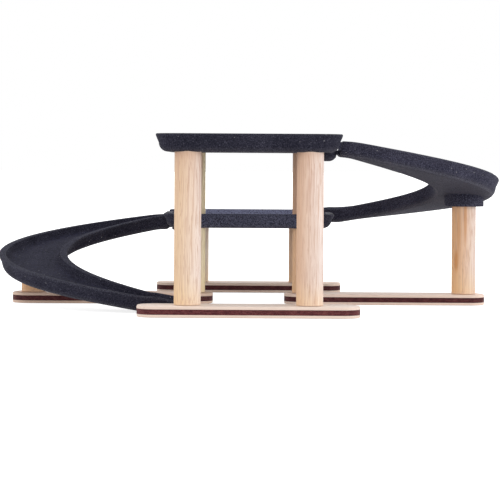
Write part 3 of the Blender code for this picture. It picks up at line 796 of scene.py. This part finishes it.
rampCut = {
    "turnX": 0.1005, "radius": 0.144, "width": 0.077, "height": 0.0169, "depth": 0.0093, "rim": 0.007,
    "rimRound": 0.0012, "rimSteps": 5, "wallLean": 0.2, "fillet": 0.0065, "filletEnd": 12, "filletSteps": 8,
    "lean": 0.0034, "bilge": 0.0083, "bilgeSteps": 10, "support": 0.0016, "supportLean": 0.3,
    "stations": 112, "ease": 0.035, "endLean": 0.0035, "swell": 0.002, "endRound": 0.0030, "endSteps": 6,
    "endDraw": 0.35, "step": 0.0002, "gap": 0.0003,
    "footSteps": 10, "tipLength": 0.0012, "tipDrop": 0.0008,
}
tongueCut = {"length": 0.021, "width": 0.048, "corner": 0.006, "root": 0.0049, "cornerSteps": 8}
pegCut = {"radius": 0.005, "length": 0.0034, "inset": 0.0105, "root": 0.0016, "ease": 0.0006, "sides": 32}
bossCut = {
    "radius": 0.0223, "drop": 0.0115, "socketRadius": 0.0139, "socket": 0.0058, "ease": 0.0010, "sides": 72,
}
# each ramp's gain is painted light and shade
rampSet = {
    "upper_ramp": {"rims": (0.1827, 0.1059), "sag": 0.0046, "sway": -0.0006, "turned": False, "gain": 1.31,
                   "headSeat": 0.1681, "footSeat": 0.0910, "footStart": 0.0978, "footEnd": (0.0764, 0.1038),
                   "rest": 0.0913},
    "lower_ramp": {"rims": (0.0961, 0.0179), "sag": -0.0019, "sway": 0.0001, "turned": True, "gain": 0.96,
                   "headSeat": 0.0815, "footSeat": None, "footStart": 0.1005, "footEnd": (0.066, 0.012),
                   "rest": 0.0003},
}


def easedShare(share):
    q = rampCut["ease"]
    if share < q:
        return share * share / (2 * q * (1 - q))
    if share > 1 - q:
        return 1 - (1 - share) ** 2 / (2 * q * (1 - q))
    return (share - q / 2) / (1 - q)


def rimLevel(ramp, share):
    start, end = ramp["rims"]
    level = start + (end - start) * easedShare(share)
    return level - 4 * ramp["sag"] * share * (1 - share) + ramp["sway"] * math.sin(math.tau * share)


def troughSection():  # (across, depth below the rim, 1 on the skin, share of the swell at the bend)
    cut = rampCut
    half = cut["width"] / 2
    r = cut["rimRound"]
    inner = half - cut["rim"] - r
    floorEdge = inner - cut["wallLean"] * cut["depth"] - cut["fillet"]
    filletCentre = (floorEdge, cut["depth"] - cut["fillet"])
    inside = arc(filletCentre, cut["fillet"], 90, cut["filletEnd"], cut["filletSteps"])
    inside += arc((half - cut["rim"], r), r, 180, 270, cut["rimSteps"])
    outside = arc((half - r, r), r, 270, 360, cut["rimSteps"])
    outside += [(half - cut["support"] * cut["supportLean"], r + cut["support"])]
    bilgeTop = cut["height"] - cut["bilge"]
    outside += arc((half - cut["lean"] - cut["bilge"], bilgeTop), cut["bilge"], 0, 90, cut["bilgeSteps"])
    side = [(x, d, 0.0, 0.0) for x, d in inside]
    side += [(x, d, 1.0, max(d - bilgeTop, 0.0) / cut["bilge"]) for x, d in outside]
    return side + [(-x, d, skin, 0.0) for x, d, skin, swell in reversed(side)]


def rampStations(ramp):  # x, y, turn, rim level, lean of the end, lowest level, draw of the outer skin
    cut = rampCut
    r = cut["endRound"]
    stations = []
    for i in range(cut["endSteps"]):
        angle = math.pi / 2 * i / cut["endSteps"]
        back = r * (1 - math.cos(angle))
        lean = cut["endLean"] * math.cos(angle)
        pull = r * (1 - math.sin(angle))
        stations.append((rampEndX + back, -cut["radius"], 0.0, ramp["rims"][0], lean, 0.0, pull))
    for i in range(1, cut["stations"] + 1):
        share = i / cut["stations"]
        turn = math.pi * share
        x = cut["turnX"] + cut["radius"] * math.sin(turn)
        y = -cut["radius"] * math.cos(turn)
        stations.append((x, y, turn, rimLevel(ramp, share), 0.0, 0.0, 0.0))
    startX = ramp["footStart"]
    endX, endRim = ramp["footEnd"]
    startRim = ramp["rims"][1]
    if startX < rampEndX:
        stations.append((rampEndX, cut["radius"], math.pi, startRim, 0.0, 0.0, 0.0))
    run = startX - endX - cut["tipLength"]
    for i in range(cut["footSteps"] + 1):
        share = i / cut["footSteps"]
        x = startX - run * share
        rim = startRim + (endRim - startRim) * share
        stations.append((x, cut["radius"], math.pi, rim, 0.0, ramp["rest"], 0.0))
    stations.append((endX, cut["radius"], math.pi, endRim - cut["tipDrop"], 0.0, ramp["rest"], 0.0))
    return stations


def troughRings(ramp):
    cut = rampCut
    section = troughSection()
    half = cut["width"] / 2
    rings = []
    for x, y, turn, rim, lean, lowest, pull in rampStations(ramp):
        ring = []
        for across, depth, skin, swell in section:
            side = across * (1 - skin * pull * cut["endDraw"] / half)
            drop = depth * (1 - skin * pull / cut["height"])
            push = -lean * drop / cut["height"]
            z = max(rim - drop - cut["swell"] * swell * math.sin(turn) ** 2, lowest)
            ring.append((x + side * math.sin(turn) + push, y - side * math.cos(turn), z))
        rings.append(ring)
    return rings


def rampTongue(low, high):
    tipX = rampEndX - tongueCut["length"]
    rootX = rampEndX + tongueCut["root"]
    outline = roundedOutline(rootX - tipX, tongueCut["width"], tongueCut["corner"], tongueCut["cornerSteps"])
    tongue = loft(insetRings(outline, [(0.0, low), (0.0, high)]))
    bmesh.ops.translate(tongue, verts=tongue.verts, vec=((tipX + rootX) / 2, -rampCut["radius"], 0.0))
    return tongue


def rampBoss(ramp, postX, low, middleRim):  # round boss whose top follows the fall of the trough
    cut = rampCut
    boss = drum(bossCut["radius"], low, middleRim, (postX, 0.0), bossCut["sides"], bossCut["ease"])
    for vert in boss.verts:
        if vert.co.z > middleRim - cut["gap"]:
            turn = math.atan2(vert.co.x - cut["turnX"], -vert.co.y)
            vert.co.z = rimLevel(ramp, turn / math.pi) - (cut["depth"] + cut["height"]) / 2
    return boss


def troughRamp(name, ramp, finish):
    cut = rampCut
    postX = cut["turnX"] + cut["radius"]
    piece = asObject(name + "_trough", loft(troughRings(ramp)))
    middleRim = rimLevel(ramp, 0.5)
    bossLow = middleRim - cut["height"] - bossCut["drop"]
    headLow = ramp["headSeat"] + cut["gap"]
    tools = [("UNION", rampBoss(ramp, postX, bossLow, middleRim))]
    tools.append(("UNION", rampTongue(headLow, ramp["rims"][0] - cut["depth"] - cut["step"])))
    for lane, seat in ((-cut["radius"], ramp["headSeat"]), (cut["radius"], ramp["footSeat"])):
        if seat is not None:
            low = seat + cut["gap"] - pegCut["length"]
            high = seat + cut["gap"] + pegCut["root"]
            spot = (rampEndX - pegCut["inset"], lane)
            tools.append(("UNION", drum(pegCut["radius"], low, high, spot, pegCut["sides"], pegCut["ease"])))
    socketTop = bossLow + bossCut["socket"]
    socket = drum(bossCut["socketRadius"], bossLow - bossCut["drop"], socketTop, (postX, 0.0))
    tools.append(("DIFFERENCE", socket))
    carve(piece, tools)
    if ramp["turned"]:
        piece.data.transform(Matrix.Rotation(math.pi, 4, "Z"))
    return settle(piece, name, finish, name)


for name, ramp in rampSet.items():
    troughRamp(name, ramp, makeComposite(name + "Fibre", ramp["gain"]))
print("ramps moulded:", len(rampSet))


# Stage, light and camera

stageLook = {"floor": (0.88,) * 3, "lift": (0.80,) * 3, "roughness": 0.9, "size": 30.0, "drop": 0.0004}
floorBm = bmesh.new()
bmesh.ops.create_grid(floorBm, x_segments=1, y_segments=1, size=stageLook["size"])
floor = asObject("floor", floorBm)
floor.location.z = -stageLook["drop"]
floorFinish = Finish("paleFloor")
floorFinish.set(baseColor=stageLook["floor"], roughness=stageLook["roughness"], specularIORLevel=0.0)
lift = floorFinish.mix(floorFinish.seen(), (0.0, 0.0, 0.0), stageLook["lift"])  # only what the camera sees
floorFinish.set(emissionColor=lift, emissionStrength=1.0)
floor.data.materials.append(floorFinish.material)

skyLook = {"shown": 1.0, "light": 0.86}
world = bpy.data.worlds.new("studio")
scene.world = world
world.use_nodes = True
sky = Graph(world.node_tree)
skyLight = sky.seen() * (skyLook["shown"] - skyLook["light"]) + skyLook["light"]
background = world.node_tree.nodes["Background"]
sky.feed(background.inputs["Color"], (1.0, 1.0, 1.0))
sky.feed(background.inputs["Strength"], skyLight)

lampSet = {
    "side": {"place": (1.9, -1.3, 0.45), "size": 1.2, "power": 16.0},
    "fill": {"place": (-2.0, -1.2, 0.5), "size": 1.4, "power": 12.0},
    "edge": {"place": (2.1, -0.2, 0.4), "size": 1.2, "power": 5.0},
    "back": {"place": (0.0, 2.3, 1.2), "size": 1.5, "power": 4.0},
}
aim = Vector((0.0, 0.0, 0.09))
for name, lamp in lampSet.items():
    light = bpy.data.lights.new(name, "AREA")
    light.size = lamp["size"]
    light.energy = lamp["power"]
    lampObject = bpy.data.objects.new(name, light)
    lampObject.location = lamp["place"]
    lampObject.rotation_mode = "QUATERNION"
    lampObject.rotation_quaternion = (aim - lampObject.location).to_track_quat("-Z", "Y")
    scene.collection.objects.link(lampObject)
print("lamps hung:", len(lampSet))

photoView = {  # lens and eye that put the columns and plates where the picture has them
    "frame": 500.0, "focal": 2100.0, "sensor": 36.0, "eye": (0.0, -2.3892, 0.1605),
    "roll": 0.3438, "eyePixel": (249.25, 161.8), "clipEnd": 100.0,
}
cameraData = bpy.data.cameras.new("photoCamera")
camera = bpy.data.objects.new("photoCamera", cameraData)
scene.collection.objects.link(camera)
scene.camera = camera
cameraData.sensor_fit = "HORIZONTAL"
cameraData.sensor_width = photoView["sensor"]
cameraData.lens = photoView["sensor"] * photoView["focal"] / photoView["frame"]
cameraData.shift_x = 0.5 - photoView["eyePixel"][0] / photoView["frame"]
cameraData.shift_y = photoView["eyePixel"][1] / photoView["frame"] - 0.5
cameraData.clip_end = photoView["clipEnd"]
upright = Matrix.Rotation(math.pi / 2, 4, "X")
roll = Matrix.Rotation(math.radians(photoView["roll"]), 4, "Z")
camera.matrix_world = Matrix.Translation(photoView["eye"]) @ upright @ roll

scene.view_settings.view_transform = "Standard"
bpy.context.view_layer.update()
